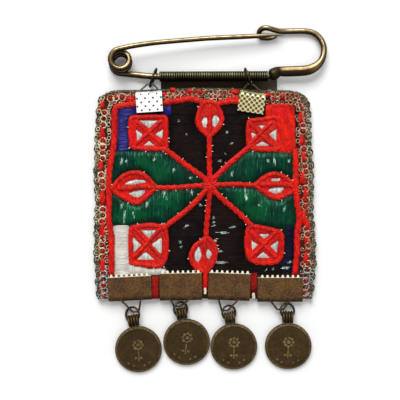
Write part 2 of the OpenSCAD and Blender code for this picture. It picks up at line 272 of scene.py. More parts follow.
def dentedPlate(x0, y0, turn, step, radius, dentDark):
    # darker in the dents and round them; the dents sit in a diamond grid on the plate
    def extra(dye, point, colour, rough, height, bright, dark):
        x, y, z = dye.axes(point)
        u, v = onPiece(x, y, x0, y0, turn)
        v = v + 0.2
        a = (u + v) * (0.5 / step)
        b = (u - v) * (0.5 / step)
        a = a - a.round()
        b = b - b.round()
        off = (a * a + b * b) * (2 * step * step)
        front = dye.facing()[2].between(0.3, 0.7) * z.between(3.2, 3.5)
        dents = off.between(radius ** 2 * 1.5, radius ** 2 * 0.6)
        colour = dye.mix(dents * front * dentDark, colour, dark)
        # the wire loop above the plate is blackened
        return dye.layers(colour, (v, 4.1, 4.3, 0.9, ink(62, 55, 40))), rough, height
    return extra


# The coins as they lie: middle x and y, turn, and how they lean from the bail down to the lower rim
coinRows = {
    "coin_1": (-26.75, -55.3, 9.5), "coin_2": (-9, -52.65, 10), "coin_3": (8.45, -54.3, 8.4),
    "coin_4": (28.5, -54.15, 1.6),
}
coinShape = {"radius": 8.6, "thick": 0.85, "lean": 5.9, "relief": 0.3}


def struckFace(x0, y0, turn):
    # the raised flower, dots and upper rim are rubbed, the upper rim also gets a painted highlight and the lower rim
    # painted shade; the field is dark and spotted
    def extra(dye, point, colour, rough, height, bright, dark):
        x, y, z = dye.axes(point)
        u, v = onPiece(x, y, x0, y0, turn)
        out = v * v + u * u
        lean = radians(coinShape["lean"])
        raised = z * cos(lean) - (v + coinShape["radius"]) * sin(lean) - coinShape["thick"]
        spots = dye.noise(point, 1.1, 4, 0.65)
        lit = dye.noise(point, 2.6, 3, 0.6)
        colour = dye.layers(
            colour, (spots, 0.52, 0.38, 0.6, ink(44, 28, 22)), (lit, 0.58, 0.72, 0.35, ink(140, 116, 70)))
        # the bail above the disc is left out of the rubbing
        above = raised.between(coinShape["relief"] * 0.45, coinShape["relief"] * 0.85) * v.between(9.2, 8.8)
        # painted shade: the lower rim is kept darker
        above = above * (1 - out.between(50, 56) * v.between(6.5, -1) * 0.75)
        colour = dye.mix(above * (spots.between(0.4, 0.62) * 0.28 + lit * 0.22), colour, ink(196, 168, 118))
        # painted highlight along the upper rim
        rim = out.between(66, 71) * v.between(3.5, 7.5) * v.between(8.8, 8.4)
        colour = dye.mix(rim * raised.between(0.1, 0.25) * 0.75, colour, ink(236, 214, 168))
        edge = raised.between(0.12, 0.02) * raised.between(-0.06, 0.0) * v.between(9.2, 8.8)
        return dye.mix(edge * 0.5, colour, dark), rough - above * 0.12, height + lit * 0.6
    return extra


def pinSolderAndShade(dye, point, colour, rough, height, bright, dark):
    # old dark solder where the wound bar meets the bend, and browner wire right of it
    x, y, z = dye.axes(point)
    patch = x.between(20.9, 21.4) * x.between(26.6, 24.6) * y.between(49.5, 48.9)
    colour = dye.mix(patch * 0.88, colour, ink(36, 35, 24))
    brown = x.between(24.6, 26.6) * x.between(41.0, 37.0) * y.between(53.0, 50.5)
    colour = dye.mix(brown * 0.5, colour, ink(104, 76, 46))
    # painted shade on the underside of the lapped stretch
    below = x.between(24.0, 25.5) * x.between(39.0, 35.0) * y.between(51.0, 49.8) * dye.facing()[1].between(0.3, -0.1)
    return dye.mix(below * 0.85, colour, ink(26, 23, 18)), rough + patch * 0.15, height


crimpTurns = {"crimp_1": 3, "crimp_2": 1, "crimp_3": -2, "crimp_4": 0}

# Which metal each kind of node gets, what is on it, and how metallic it is
coats = {
    "pin": ("pinBrass", pinSolderAndShade, 1.0), "wire": ("wrapWire", None, 1.0),
    "ring": ("darkWire", None, 1.0), "link": ("darkWire", None, 1.0),
    # the left clip's near-white is a painted reflection of the lamp
    "clip_left": ("paintedReflectionPlate", dentedPlate(-22.65, 35.75, 3.8, 1.46, 0.36, 0.95), 0.25),
    "clip_right": ("paleBrass", dentedPlate(14.95, 35.55, -9, 0.95, 0.54, 0.9), 0.6),
    "crimp": ("crimpBrass", None, 0.5), "coin": ("coinBronze", None, 0.85),
}


def teethLine(name):
    # the teeth run at the crimp's own slant, and a box only gives its highest corner
    low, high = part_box(name)
    slant = tan(radians(crimpTurns[name]))
    middle, reach = (low[0] + high[0]) / 2 * 1000, (high[0] - low[0]) / 2 * 1000
    return high[1] * 1000 - abs(slant) * reach - middle * slant


def finishMetals():
    made = {}
    for name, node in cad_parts.items():
        kind = name if name in coats else name.split("_")[0]
        if kind not in coats:
            continue
        coat, extra, solid = coats[kind]
        if kind == "crimp":
            dye = metalDye(coat + "_" + name[-1], coat, crimpFace(teethLine(name), crimpTurns[name]), solid)
        elif kind == "coin":
            dye = metalDye(coat + "_" + name[-1], coat, struckFace(*coinRows[name]), solid)
        else:
            if kind not in made:
                made[kind] = metalDye(coat, coat, extra, solid)
            dye = made[kind]
        node.data.materials.clear()
        node.data.materials.append(dye)
        for face in node.data.polygons:
            face.material_index = 0
    print("metals coated")
    return made["pin"]


# The spring coil as it was bent: middle, radius, wire, rise and lean of its turns, in millimetres and degrees
spring = {"x": -33.2, "y": 49.6, "radius": 3.4, "wire": 1.02, "rise": 2.2, "lean": 0.6, "low": 1.28,
    "armRoot": (-33.2, 54.6, 6.35), "armWire": 0.97}


def onSpring(turn, thick):
    a = radians(-90 - turn)
    x, y = spring["radius"] * cos(a), spring["radius"] * sin(a)
    z = spring["low"] - 0.15 * y + 0.028 * x + spring["rise"] * turn / 360
    return spring["x"] + x, spring["y"] + y + spring["lean"] * turn / 360, z, thick


def bridgeSpring(pinDye):
    # the wire is one piece: a tongue and an elbow close the cuts that let it bend
    tongue = [(-31.9, 46.13, 1.84, 1.0), (-32.6, 46.17, 1.81, 0.99)] + [onSpring(turn, 0.97) for turn in (0, 8, 16)]
    elbow = [onSpring(turn, 1.03) for turn in (866, 876, 886)] + [onSpring(894, 1.0)]
    elbow.append(spring["armRoot"] + (spring["armWire"] / spring["wire"],))
    keep(strands("springTongue", [tongue], spring["wire"], 5), pinDye)
    keep(strands("springElbow", [elbow], spring["wire"], 5), pinDye, "coil")
    print("spring closed")


def alone(piece):
    bpy.ops.object.select_all(action="DESELECT")
    piece.select_set(True)
    bpy.context.view_layer.objects.active = piece


def added(adder, **sizes):
    # a new primitive, with nothing else selected
    bpy.ops.object.select_all(action="DESELECT")
    adder(**sizes)
    return bpy.context.view_layer.objects.active


def linked(name, data):
    piece = bpy.data.objects.new(name, data)
    bpy.context.scene.collection.objects.link(piece)
    return piece


def meshOf(piece):
    # a curve, turned into a smooth mesh
    alone(piece)
    bpy.ops.object.convert(target="MESH")
    bpy.ops.object.shade_smooth()
    return bpy.context.view_layer.objects.active


def faceOut(piece):
    alone(piece)
    bpy.ops.object.mode_set(mode="EDIT")
    bpy.ops.mesh.select_all(action="SELECT")
    bpy.ops.mesh.normals_make_consistent(inside=False)
    bpy.ops.object.mode_set(mode="OBJECT")


def thickGrid(across, upward):
    # a grid from -1 to 1 with a second side at 1, closed all round, and its dyes
    piece = added(bpy.ops.mesh.primitive_grid_add, x_subdivisions=across, y_subdivisions=upward, size=2)
    bpy.ops.object.mode_set(mode="EDIT")
    bpy.ops.mesh.select_all(action="SELECT")
    bpy.ops.mesh.extrude_region_move(TRANSFORM_OT_translate={"value": (0, 0, 1)})
    bpy.ops.object.mode_set(mode="OBJECT")
    faceOut(piece)
    return piece, piece.data.color_attributes.new("ground", "FLOAT_COLOR", "POINT")


def keep(piece, dye, body="brooch"):
    piece.data.materials.clear()
    piece.data.materials.append(dye)
    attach(piece, body)
    return piece


def strands(name, paths, radius, sides=1):
    # thread laid along each path; a path is a list of (x, y, z, thickness), in millimetres
    reel = bpy.data.curves.new(name, "CURVE")
    reel.dimensions = "3D"
    reel.bevel_depth = radius * mm
    reel.bevel_resolution = sides
    reel.use_fill_caps = True
    for path in paths:
        line = reel.splines.new("POLY")
        line.points.add(len(path) - 1)
        for spot, (x, y, z, thick) in zip(line.points, path):
            spot.co = (x * mm, y * mm, z * mm, 1)
            spot.radius = thick
    return meshOf(linked(name, reel))


def copies(name, pattern, places):
    # the pattern, copied to each place with its own mesh, then joined; the pattern itself goes
    made = []
    for place in places:
        made.append(linked(name, pattern.data.copy()))
        made[-1].data.transform(place)
    alone(made[0])
    for piece in made:
        piece.select_set(True)
    bpy.ops.object.join()
    whole = bpy.context.view_layer.objects.active
    bpy.data.objects.remove(pattern)
    whole.name = whole.data.name = name
    alone(whole)
    bpy.ops.object.shade_smooth()
    return whole


def along(points, step, closed=False):
    # evenly spaced points on a smooth line through the given ones
    many = len(points)
    line = []
    for i in range(many if closed else many - 1):
        near = [(i + k) % many if closed else min(max(i + k, 0), many - 1) for k in (-1, 0, 1, 2)]
        line += curveBit(*(points[k] for k in near))
    line.append(line[0] if closed else points[-1])
    total = sum(dist(p, q) for p, q in zip(line, line[1:]))
    count = max(2, round(total / step))
    gap = total / count
    spots = [line[0]]
    gone = 0.0
    for p, q in zip(line, line[1:]):
        span = dist(p, q)
        while gone + span >= gap - 1e-9 and len(spots) < count:
            t = (gap - gone) / span
            p = (p[0] + (q[0] - p[0]) * t, p[1] + (q[1] - p[1]) * t)
            spots.append(p)
            span = dist(p, q)
            gone = 0.0
        gone += span
    spots.append(line[-1])
    return spots


def curveBit(a, b, c, d):
    # ten points from b towards c, on a curve that comes from a and goes on to d
    bit = []
    for k in range(10):
        t = k / 10
        bit.append(tuple(
            0.5 * (2 * b[j] + (c[j] - a[j]) * t + (2 * a[j] - 5 * b[j] + 4 * c[j] - d[j]) * t * t
                   + (3 * b[j] - a[j] - 3 * c[j] + d[j]) * t ** 3)
            for j in range(2)))
    return bit


def beside(line, off):
    # the same line moved to its left by off
    moved = []
    for i, p in enumerate(line):
        a, b = line[max(i - 1, 0)], line[min(i + 1, len(line) - 1)]
        length = dist(a, b) or 1
        moved.append((p[0] - (b[1] - a[1]) / length * off, p[1] + (b[0] - a[0]) / length * off))
    return moved


def inside(polygon, x, y):
    hit = False
    for (ax, ay), (bx, by) in zip(polygon, polygon[1:] + polygon[:1]):
        if (ay > y) != (by > y) and x < (bx - ax) * (y - ay) / (by - ay) + ax:
            hit = not hit
    return hit


def cuts(polygon, value, axis):
    # where a line across the polygon enters and leaves it
    found = []
    other = 1 - axis
    for p, q in zip(polygon, polygon[1:] + polygon[:1]):
        if (p[axis] > value) != (q[axis] > value):
            found.append(p[other] + (q[other] - p[other]) * (value - p[axis]) / (q[axis] - p[axis]))
    found.sort()
    return list(zip(found[::2], found[1::2]))


def spans(polygon, holes, value, axis):
    # the same, less what lies in the holes
    left = cuts(polygon, value, axis)
    for hole in holes:
        for a, b in cuts(hole, value, axis):
            kept = []
            for p, q in left:
                if b <= p or a >= q:
                    kept.append((p, q))
                    continue
                if p < a:
                    kept.append((p, a))
                if b < q:
                    kept.append((b, q))
            left = kept
    return left


# The pattern: closed red shapes with bare cloth showing in them, and the lines between
redShapes = {
    "squareUpperLeft": [(131.5, 115.3), (148, 114.3), (164.5, 114.8), (167.8, 118), (168.4, 132), (168.2, 147),
        (165.5, 150.8), (150, 151.2), (133, 149.8), (129.2, 146.5), (128.4, 132), (128.6, 118.5)],
    "squareUpperRight": [(249, 118.4), (262, 117), (279, 116.5), (281, 134), (280, 150.5), (262, 151.8), (250, 150),
        (246.4, 145), (246, 130), (247, 121)],
    "squareLowerLeft": [(131, 225.5), (141, 223.8), (150, 223.2), (160, 224), (167, 226.5), (168.9, 240),
        (168.4, 254), (163.5, 266.8), (150, 268), (134, 265.8), (128.6, 262), (128.2, 245), (128.6, 229)],
    "squareLowerRight": [(248, 224.8), (257, 224.6), (271, 227.5), (282.5, 231.4), (284.4, 243), (283.6, 256),
        (278, 264), (266, 265.6), (255.5, 264.6), (246.8, 258.5), (244.6, 246), (245.2, 232)],
    "lensLeft": [(110.5, 188), (115, 180.5), (122, 174), (131, 170.6), (140, 170.8), (147.5, 175), (153, 181),
        (157, 185), (157, 189.5), (151, 195.4), (145, 201), (138.4, 205.2), (131, 204), (124, 200.4), (117, 196.5),
        (112, 192)],
    "lensRight": [(252.5, 185.6), (256, 181.5), (262, 176.2), (269, 172.6), (276, 171.6), (284, 174), (290, 178.5),
        (296, 183), (296, 192), (289, 196), (283, 199.2), (276, 200.4), (268, 197.6), (262, 193.2), (256, 188.6)],
    "lensTop": [(201.5, 101), (210, 99.5), (217.5, 102), (221.5, 109), (224.4, 118), (221.5, 127.5), (215, 134.6),
        (210, 138), (204, 135), (197.6, 128.5), (195.2, 121), (197, 111.5)],
    "lensBottom": [(205.5, 235), (201, 238.8), (193.4, 244.4), (188.8, 254), (189.6, 262), (194, 269), (199, 273),
        (208.5, 273), (213, 267.5), (216.5, 261), (218.2, 252), (216.6, 244), (211.5, 238.4), (208, 235)],
    "patchUpperRight": [(266, 105), (272, 103.8), (290, 103.8), (294.2, 108), (295, 125), (295.6, 150), (290, 153),
        (279, 151.8), (279, 117.5), (266.5, 117)],
}
bare = {
    "squareUpperLeft": [[(138.5, 120.5), (148, 119.8), (158, 120.5), (149, 128)], [(135.7, 129), (143, 134.5),
        (136.8, 141)], [(163, 129), (154.8, 134), (162.2, 138.8)], [(143, 145.4), (149, 140.8), (154.8, 145.4)]],
    "squareUpperRight": [[(257.6, 124.8), (266.6, 124.6), (262, 129)], [(251.2, 131.6), (257.2, 134.6),
        (252, 138.4)], [(277, 128.2), (268.8, 134), (276.6, 141)], [(254.6, 145.6), (262.5, 141), (271.6, 145.8)]],
    "squareLowerLeft": [[(140.4, 230.2), (157.6, 229.8), (149, 238.6)], [(132.6, 236.5), (141.2, 245),
        (133.6, 253)], [(161.2, 237), (151.6, 244.4), (161, 257.8)], [(136.4, 260.2), (145.6, 251.4),
        (154.6, 260.2)]],
    "squareLowerRight": [[(258, 233.8), (270.6, 234), (264, 239)], [(251.4, 240.2), (258.6, 245), (251.6, 251)],
        [(278.6, 240.6), (270.2, 246), (277, 253.2)], [(256, 258), (263.4, 251.8), (270.6, 258)]],
    "lensLeft": [[(123.4, 184.4), (129, 181), (136, 179.4), (144, 180), (146.4, 182), (138, 183.6), (130, 185)],
        [(128.2, 193.4), (134, 191), (141, 190), (145.8, 189.8), (143, 194.6), (137.5, 197.8), (132.5, 196.2)]],
    "lensRight": [[(271.6, 178.3), (280.4, 178), (280.4, 181), (271.6, 181.2)], [(267.6, 190.6), (272, 188),
        (280, 187), (284.6, 187.8), (281, 192.8), (274.5, 193.8)]],
    "lensTop": [[(203.6, 117), (206.6, 116.4), (207.6, 121), (206.2, 127.6), (203, 126.8), (201.8, 121.4)],
        [(213, 115.6), (216.4, 114.4), (219.8, 119), (217.6, 124.2), (215, 127.6), (212.4, 125)]],
    "lensBottom": [[(198.8, 245.8), (201, 252), (200.8, 258), (198.2, 262.8), (194.6, 259.4), (195, 252)],
        [(207, 249.2), (209.2, 248.8), (212.2, 254.5), (209.2, 259.2), (206.4, 257.8)]],
}
redBands = [  # points, width on the grid, threads side by side
    ([(136, 103.6), (126, 104.8), (117, 106.6), (114.4, 112), (114.2, 124), (114, 138), (112.6, 152), (110.2, 164),
        (108.8, 176), (108.6, 188), (109, 200), (108.4, 212), (109, 224), (111, 236), (111.6, 254),
        (111.4, 274)], 6.2, 6),
    ([(163, 102.6), (172, 101.4), (182, 99.8), (191, 98.2), (198, 100.5), (205, 104)], 6.0, 6),
    ([(215, 104), (223, 102.6), (232, 101.2), (240, 102.4)], 5.6, 5),
    ([(296, 150), (295.8, 163), (296, 177), (296.2, 192), (297.4, 204), (299.2, 213), (298.8, 224), (297.2, 236),
        (297.4, 250), (296.2, 262), (294.6, 274)], 6.2, 6),
    ([(154, 187.4), (166, 187.8), (180, 187.2), (194, 186), (208, 185)], 5.6, 5),
    ([(212, 185), (225, 184.4), (238, 184.2), (246, 184.8), (255, 185.4)], 5.2, 5),
    ([(209.6, 134), (209.4, 148), (209.4, 162), (210, 180)], 5.8, 5),
    ([(210, 190), (208.8, 203), (207.4, 218), (206.4, 228), (206, 238)], 5.8, 5),
    ([(163, 148), (169, 152), (178, 159), (188, 166.5), (198, 173.4), (208, 181)], 6.2, 6),
    ([(253, 144), (246, 149.6), (238, 156.4), (229, 164), (220, 172.6), (212, 180.4)], 6.0, 6),
    ([(162, 230), (170, 223), (180, 215.6), (190, 207.4), (199, 198), (208, 188)], 6.0, 6),
    ([(252, 226.4), (243, 217), (233, 208), (223, 199.4), (212, 189)], 6.0, 6),
    ([(205.4, 266), (205.4, 276), (205.2, 288.5)], 5.4, 5),
    ([(118, 188.8), (128, 188), (140, 186.8), (154, 187.2)], 5.6, 5),
    ([(259, 184.6), (268, 184.4), (280, 184.2), (294, 186)], 5.6, 5),
    ([(209.8, 104), (210, 114), (209.8, 124), (209.6, 135)], 4.6, 4),
    ([(205.6, 237), (204.6, 248), (204, 258), (204.6, 268)], 4.4, 4),
]
fields = {
    "greenSatin": {"way": 0, "shapes": [
        [(117.5, 151), (168, 150), (206, 180), (206, 187), (154, 188), (109, 188), (109.5, 178), (111.5, 164),
            (114, 152)],
        [(109, 189), (154, 188), (207, 187), (168, 226), (127.6, 226), (113, 226), (110, 212)],
        [(213, 181), (248, 150), (294, 151), (296, 170), (296, 186), (214, 186)],
        [(213, 187), (296, 187), (298, 206), (297.4, 226.5), (284, 227), (284, 233), (252, 226)]]},
    "darkSatin": {"way": 1, "shapes": [
        [(167, 116), (171, 104), (196, 101), (240, 103.5), (266, 105), (266, 117), (249, 119), (249, 150),
            (214, 180), (206, 180), (167, 150)],
        [(167, 228), (206, 190), (213, 190), (250, 226), (244, 240), (246, 260), (256, 266), (284, 265), (284, 275),
            (167, 275)]]},
    "blueSatin": {"way": 1, "shapes": [
        [(117, 108), (120, 106.5), (136, 106), (136, 115.5), (129, 116), (129, 151), (117, 151.5)]]},
    "blueEnd": {"way": 0, "shapes": [[(163.2, 105), (171.4, 104.5), (170.6, 117), (163.2, 116)]]},
    "whiteSatin": {"way": 1, "shapes": [[(113.8, 225.5), (128.4, 225.5), (129, 267), (129, 275.5), (113.8, 275.5)]]},
    "whiteFoot": {"way": 0, "shapes": [[(129, 264), (150, 269.4), (160, 268), (168, 271), (168.5, 274.5),
        (129, 274.5)]]},
    "navySatin": {"way": 1, "shapes": [[(284, 226.6), (295, 226.6), (295, 274.5), (284, 274.5)]]},
}
centre = (210, 185)
lines = [[flat(*p) for p in points] for points, width, count in redBands]
print("pattern drawn:", len(redShapes), "shapes,", len(redBands), "bands")

pad = {
    "left": [(98, 91), (96.5, 110), (96, 140), (95, 165), (96, 180), (97.5, 195), (95, 210), (95.5, 240), (97, 265),
        (98, 280), (100, 299)],
    "right": [(303, 91), (306, 110), (308, 145), (310, 165), (310.5, 200), (309, 222), (312, 240), (313, 262),
        (312, 280), (309, 299)],
    "top": 90.5,
    "bottom": 299,
    "cells": 150,
    "wide": 73,
    "corner": 1.82, "pullUpper": 22, "pullLower": 6,  # where the corners begin, and how far they are drawn in
    "middle": (200, 195),  # towards which they are drawn
    "edge": 2.5, "crown": 0.75, "most": 3.3, "pressed": 2.9, "back": 0.15, "backPlate": 0.62,  # heights
    "seam": 0.9, "swell": 1.8, "start": 0.15, "rimRound": 1.6, "backRound": 1.2, "backRise": 0.75,
    "crimps": 271, "crimpsBack": 266, "sewn": 1.1, "sewnRim": 2.2,
    "redUnder": 1.2, "footFrom": 275, "rimFrom": (107, 300, 102),  # where the red, foot and rim colours lie
    "simScale": 20, "frames": 16, "pressure": 34.0, "stiff": 6, "shear": 4, "bend": 0.4, "mostMove": 0.95,
}


def crossing(points, value):
    for p, q in zip(points, points[1:]):
        if p[1] <= value <= q[1]:
            return p[0] + (q[0] - p[0]) * (value - p[1]) / (q[1] - p[1])
    return points[0][0] if value < points[0][1] else points[-1][0]


def padEdges(py):
    return crossing(pad["left"], py), crossing(pad["right"], py)


def fromLine(x, y):
    # distance to the nearest red band's middle
    best = 9.0
    for run in lines:
        for (ax, ay), (bx, by) in zip(run, run[1:]):
            if min(ax, bx) - best > x or max(ax, bx) + best < x or min(ay, by) - best > y or max(ay, by) + best < y:
                continue
            dx, dy = bx - ax, by - ay
            t = max(0.0, min(1.0, ((x - ax) * dx + (y - ay) * dy) / (dx * dx + dy * dy + 1e-9)))
            best = min(best, hypot(x - ax - dx * t, y - ay - dy * t))
    return best


def inRed(px, py):
    return any(inside(shape, px, py) for shape in redShapes.values()) or dist((px, py), centre) < 9


# What the two clips cover on the grid: down to where, then each clip's left and right
clipCover = {
    "face": (115.5, 133.5, 165, 236.5, 266.5), "back": (114, 133, 165, 236, 267),
    "braid": (106, 134, 164.5, 237.5, 265.5),
}


def underClip(px, py, part):
    foot, leftStart, leftEnd, rightStart, rightEnd = clipCover[part]
    return py < foot and (leftStart < px < leftEnd or rightStart < px < rightEnd)


groundInks = {
    "bare": ink(196, 206, 198), "red": ink(150, 12, 12), "rim": ink(58, 20, 13), "blue": ink(18, 20, 84),
    "white": ink(190, 194, 186), "navy": ink(10, 10, 26), "green": ink(2, 34, 22), "dark": ink(14, 9, 7),
    "foot": ink(60, 40, 24), "back": ink(112, 26, 22), "shadowDark": ink(58, 44, 26), "shadowPale": ink(98, 82, 72),
}


def groundAt(px, py):
    # what shows through at a point of the cloth
    for name, holes in bare.items():
        if any(inside(hole, px, py) for hole in holes):
            return groundInks["bare"]
    if inRed(px, py) or fromLine(*flat(px, py)) < pad["redUnder"]:
        return groundInks["red"]
    if py > pad["footFrom"]:
        return groundInks["foot"]
    left, right, top = pad["rimFrom"]
    if px < left or px > right or py < top:
        return groundInks["rim"]
    for name, field in fields.items():
        if any(inside(shape, px, py) for shape in field["shapes"]):
            for tone in ("green", "dark", "blue", "white", "navy"):
                if name.startswith(tone):
                    return groundInks[tone]
    return groundInks["dark"]


faceHeights = {}


def sewPad():
    cells = pad["cells"]
    piece, dyes = thickGrid(cells, cells)
    piece.name = piece.data.name = "embroideredCloth"
    held = piece.vertex_groups.new(name="held")
    front, pinned = {}, []
    for spot, tint in zip(piece.data.vertices, dyes.data):
        u, v = (spot.co.x + 1) / 2, (1 - spot.co.y) / 2
        py = pad["top"] + (pad["bottom"] - pad["top"]) * v
        left, right = padEdges(py)
        px = left + (right - left) * u
        pull = pad["pullUpper"] if v < 0.5 else pad["pullLower"]
        pull *= max(0.0, abs(u - 0.5) * 2 + abs(v - 0.5) * 2 - pad["corner"]) / 100
        x, y = flat(px + (pad["middle"][0] - px) * pull, py + (pad["middle"][1] - py) * pull)
        rim = min(u, 1 - u, v, 1 - v) * pad["wide"]
        if spot.co.z > 0.5:
            away = fromLine(x, y)
            fixed = away < pad["sewn"] or inRed(px, py)
            puff = 0.0 if fixed else 1 - exp(-((away - pad["seam"]) / pad["swell"]) ** 1.5)
            z = pad["edge"] - exp(-rim / pad["rimRound"])
            z += pad["start"] * puff
            if py > pad["crimps"] or underClip(px, py, "face"):
                z = min(z, pad["pressed"])
                fixed = True
            front[spot.index] = (round(u * cells), round(v * cells))
            if fixed or rim < pad["sewnRim"]:
                pinned.append(spot.index)
            tint.color = groundAt(px, py)
        else:
            z = pad["back"] + pad["backRise"] * exp(-rim / pad["backRound"])
            if py > pad["crimpsBack"] or underClip(px, py, "back"):
                z = max(z, pad["backPlate"])
            pinned.append(spot.index)
            tint.color = groundInks["back"]
        spot.co = (x * mm, y * mm, z * mm)
    held.add(pinned, 1.0, "REPLACE")
    blowUp(piece)
    for index, cell in front.items():
        spot = piece.data.vertices[index].co
        spot.z = min(spot.z, pad["most"] * mm)
        faceHeights[cell] = spot.z * 1000
    piece.vertex_groups.clear()
    strip = cutShadowStrip()
    alone(piece)
    strip.select_set(True)
    bpy.ops.object.join()
    bpy.ops.object.shade_smooth()
    keep(piece, groundDye())
    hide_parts("cloth_panel")
    print("pad sewn:", len(piece.data.polygons), "faces, tallest", round(max(faceHeights.values()), 2))


def groundDye():
    dye = Dye("groundCloth")
    point = dye.place()
    tint = dye.node("ShaderNodeAttribute", {"attribute_name": "ground"})
    x, y, z = dye.axes(point)
    weave = (x * 12.0).sine() * (y * 12.0).sine()
    shade = dye.noise(point, 1.4, 4, 0.6)
    shaded = dye.mix(1.0, tint, ink(190, 178, 176), "MULTIPLY")
    dye.set(Base_Color=dye.layers(tint, (shade, 0.3, 0.8, 0.4, shaded)), Roughness=0.85, Specular_IOR_Level=0.2,
            Sheen_Weight=0.02, Normal=dye.bump(weave * 0.5 + shade, 0.5, 0.12))
    return dye.material


# A dark strip behind the cloth, seen between it and the bar, is a painted shadow; it makes way for the right clip and
# its ring, in mm
shadowStrip = {
    "left": -18.5, "right": 24.5, "foot": 39.4, "top": 44.4, "low": 0.03, "high": 0.15,
    "clip": (9.2, 20.8), "clipTop": 40.6, "clipSlant": 0.158, "ring": (13.2, 15.5), "ringFoot": 42.7,
    "lighterShare": (16, 24),
}


def cutShadowStrip():
    piece, dyes = thickGrid(86, 6)
    for spot, tint in zip(piece.data.vertices, dyes.data):
        x = shadowStrip["left"] + (shadowStrip["right"] - shadowStrip["left"]) * (spot.co.x + 1) / 2
        foot, top = shadowStrip["foot"], shadowStrip["top"]
        if shadowStrip["clip"][0] < x < shadowStrip["clip"][1]:
            foot = shadowStrip["clipTop"] - (x - shadowStrip["clip"][0]) * shadowStrip["clipSlant"]
        if shadowStrip["ring"][0] < x < shadowStrip["ring"][1]:
            top = shadowStrip["ringFoot"]
        y = foot + (top - foot) * (spot.co.y + 1) / 2 + 0.08 * sin(x * 2.3) + 0.05 * sin(x * 5.1)
        # the painted shadow grows paler towards the right
        lighterShare = max(0.0, min(1.0, (x - shadowStrip["lighterShare"][0]) / (shadowStrip["lighterShare"][1] - shadowStrip["lighterShare"][0])))
        tint.color = [a + (b - a) * lighterShare for a, b in zip(groundInks["shadowDark"], groundInks["shadowPale"])]
        spot.co = (x * mm, y * mm, (shadowStrip["high"] if spot.co.z > 0.5 else shadowStrip["low"]) * mm)
    return piece


def blowUp(piece):
    # the wadding swells between the lines that hold it down
    scale = pad["simScale"]
    piece.data.transform(Matrix.Scale(scale, 4))
    before = [v.co.copy() for v in piece.data.vertices]
    alone(piece)
    cloth = piece.modifiers.new("wadding", "CLOTH")
    rules = cloth.settings
    rules.quality = 5
    rules.mass = 0.3
    rules.tension_stiffness = rules.compression_stiffness = pad["stiff"]
    rules.shear_stiffness = pad["shear"]
    rules.bending_stiffness = pad["bend"]
    rules.vertex_group_mass = "held"
    rules.use_pressure = True
    rules.uniform_pressure_force = pad["pressure"]
    rules.effector_weights.gravity = 0
    cloth.collision_settings.use_collision = False
    cloth.point_cache.frame_start = 1
    cloth.point_cache.frame_end = pad["frames"]
    for number in range(1, pad["frames"] + 1):
        bpy.context.scene.frame_set(number)
    bpy.ops.object.modifier_apply(modifier=cloth.name)
    bpy.context.scene.frame_set(1)
    limit = pad["mostMove"] * mm * scale
    moved = 0.0
    for spot, old in zip(piece.data.vertices, before):
        step = spot.co - old
        moved = max(moved, step.length)
        if step.length > limit:
            spot.co = old + step * (limit / step.length)
    piece.data.transform(Matrix.Scale(1 / scale, 4))
    print("pad blown up, furthest move", round(moved / scale * 1000, 2))


def topAt(x, y):
    # height of the pad's face under a point, in millimetres
    px, py = gridOf(x, y)
    left, right = padEdges(py)
    cells = pad["cells"]
    u = min(cells - 0.001, max(0.0, (px - left) / (right - left) * cells))
    v = min(cells - 0.001, max(0.0, (py - pad["top"]) / (pad["bottom"] - pad["top"]) * cells))
    i, j = int(u), int(v)
    u, v = u - i, v - j
    return ((faceHeights[i, j] * (1 - u) + faceHeights[i + 1, j] * u) * (1 - v)
            + (faceHeights[i, j + 1] * (1 - u) + faceHeights[i + 1, j + 1] * u) * v)


satin = {"pitch": 0.42, "radius": 0.26, "step": 1.1, "lift": 0.03}
# Silks: deep, body, lit and warm inks, heights over which the painted shade of the hollows fades, and how much painted
# crest highlight, painted sheen streaks and gloss show
satinInks = {
    "greenSatin": ((0, 30, 20), (0, 78, 52), (92, 196, 156), (0, 98, 48), (2.75, 3.4), 0.7, 0.25, 0.12),
    "darkSatin": ((6, 4, 4), (24, 13, 11), (64, 46, 40), (38, 20, 15), (2.6, 3.1), 0.12, 0.35, 0.06),
    "blueSatin": ((10, 9, 62), (34, 33, 142), (132, 140, 226), (46, 30, 128), (2.6, 3.1), 0.3, 0.5, 0.15),
    "whiteSatin": ((180, 174, 164), (238, 231, 222), (255, 252, 247), (212, 206, 196), (2.5, 2.9), 0.5, 0.5, 0.4),
    "bareWhite": ((128, 142, 132), (244, 248, 244), (255, 255, 255), (196, 208, 200), (1.9, 2.45), 0.5, 0.5, 0.4),
    "navySatin": ((3, 3, 14), (11, 11, 40), (60, 62, 118), (18, 10, 38), (2.6, 3.0), 0.15, 0.5, 0.08),
    "redSatin": ((158, 4, 12), (250, 34, 14), (255, 104, 58), (218, 10, 32), (2.1, 3.0), 0.2, 0.5, 0.15),
    "crimsonSatin": ((84, 4, 8), (204, 22, 14), (236, 76, 46), (140, 8, 22), (2.0, 2.7), 0.2, 0.5, 0.2),
}


def laidThread(p, q, lift=0.0, dip=0.35):
    # one thread between two points of the grid, its ends drawn down
    a, b = flat(*p), flat(*q)
    length = dist(a, b)
    if length < 0.45:
        return None
    count = max(3, int(length / satin["step"]))
    path = []
    for k in range(count + 1):
        t = k / count
        x, y = a[0] + (b[0] - a[0]) * t, a[1] + (b[1] - a[1]) * t
        end = min(t, 1 - t) * length
        z = topAt(x, y) + satin["lift"] + lift - dip * exp(-end / 0.4)
        path.append((x + jog(0.03), y + jog(0.03), z + draw(-0.03, 0.06), draw(0.9, 1.1)))
    return path


